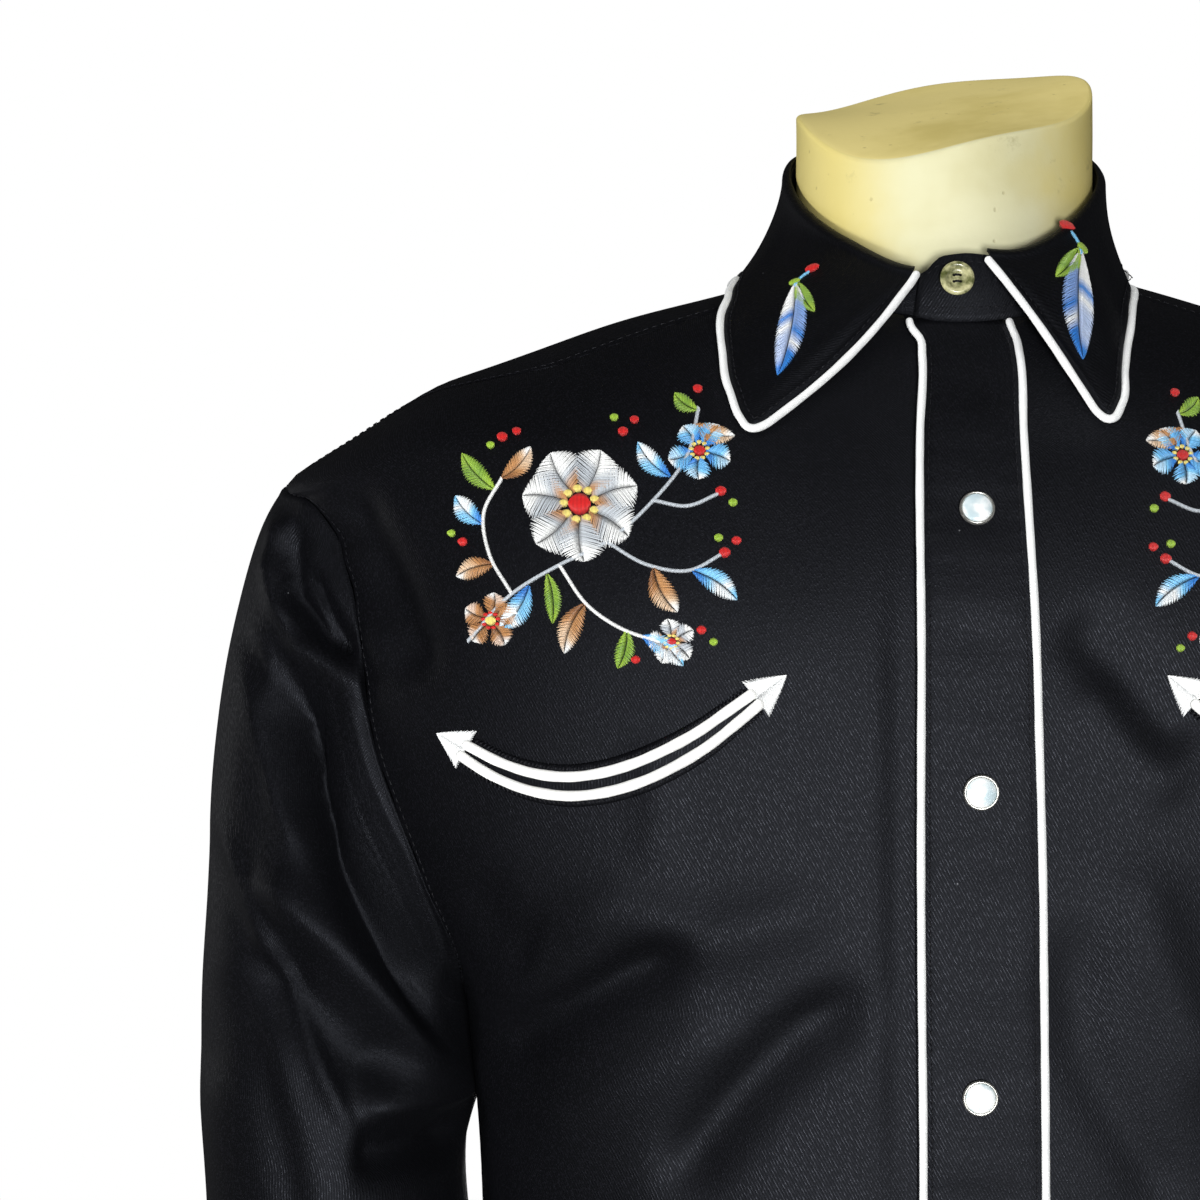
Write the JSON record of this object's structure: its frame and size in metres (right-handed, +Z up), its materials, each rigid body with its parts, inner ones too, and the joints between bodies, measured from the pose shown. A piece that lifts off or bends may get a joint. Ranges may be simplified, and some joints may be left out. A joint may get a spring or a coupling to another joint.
{
  "type": "western snap shirt on dress form",
  "caption": "Long-sleeved western shirt with white piping, smile pockets and pearl snaps, on a limbless dress form that stands on its flat base.",
  "frame": {"origin": "middle of the dress form's flat base, on the floor", "axes": "+Z up along the torso, -Y the way the wearer faces, +X towards the wearer's left"},
  "size_m": [0.548, 0.2496, 0.9004],
  "materials": {
    "form_plaster": "aged cream gel coat, satin",
    "twill_black": "black cotton twill with a soft blue-grey sheen",
    "collar_twill": "black cotton twill, pressed",
    "piping_white": "white corded piping",
    "welt_black": "black twill with raised overcast stitching",
    "pocket_cord_white": "white corded piping",
    "thread_white": "white satin stitch",
    "pearl_snap": "white pearl cap in a thin pale metal rim",
    "horn_button": "translucent olive horn"
  },
  "bodies": {
    "root": {"dress_form": "form_plaster", "front_left": "twill_black", "front_right": "twill_black", "back": "twill_black", "yoke": "twill_black", "placket": "twill_black", "sleeve_right": "twill_black", "sleeve_left": "twill_black", "cuff_right": "twill_black", "cuff_left": "twill_black", "sleeve_placket_right": "twill_black", "sleeve_placket_left": "twill_black", "collar_stand": "collar_twill", "collar_leaf": "collar_twill", "collar_piping": "piping_white", "placket_piping_right": "piping_white", "placket_piping_left": "piping_white", "pocket_welt_right": "welt_black", "pocket_welt_left": "welt_black", "pocket_cord_upper_right": "pocket_cord_white", "pocket_cord_upper_left": "pocket_cord_white", "pocket_cord_lower_right": "pocket_cord_white", "pocket_cord_lower_left": "pocket_cord_white", "arrowhead_outer_right": "thread_white", "arrowhead_outer_left": "thread_white", "arrowhead_inner_right": "thread_white", "arrowhead_inner_left": "thread_white", "snap_1": "pearl_snap", "snap_2": "pearl_snap", "snap_3": "pearl_snap", "snap_4": "pearl_snap", "snap_5": "pearl_snap", "snap_6": "pearl_snap", "cuff_snap_right_1": "pearl_snap", "cuff_snap_right_2": "pearl_snap", "cuff_snap_left_1": "pearl_snap", "cuff_snap_left_2": "pearl_snap", "collar_button": "horn_button"}
  },
  "joints": []
}
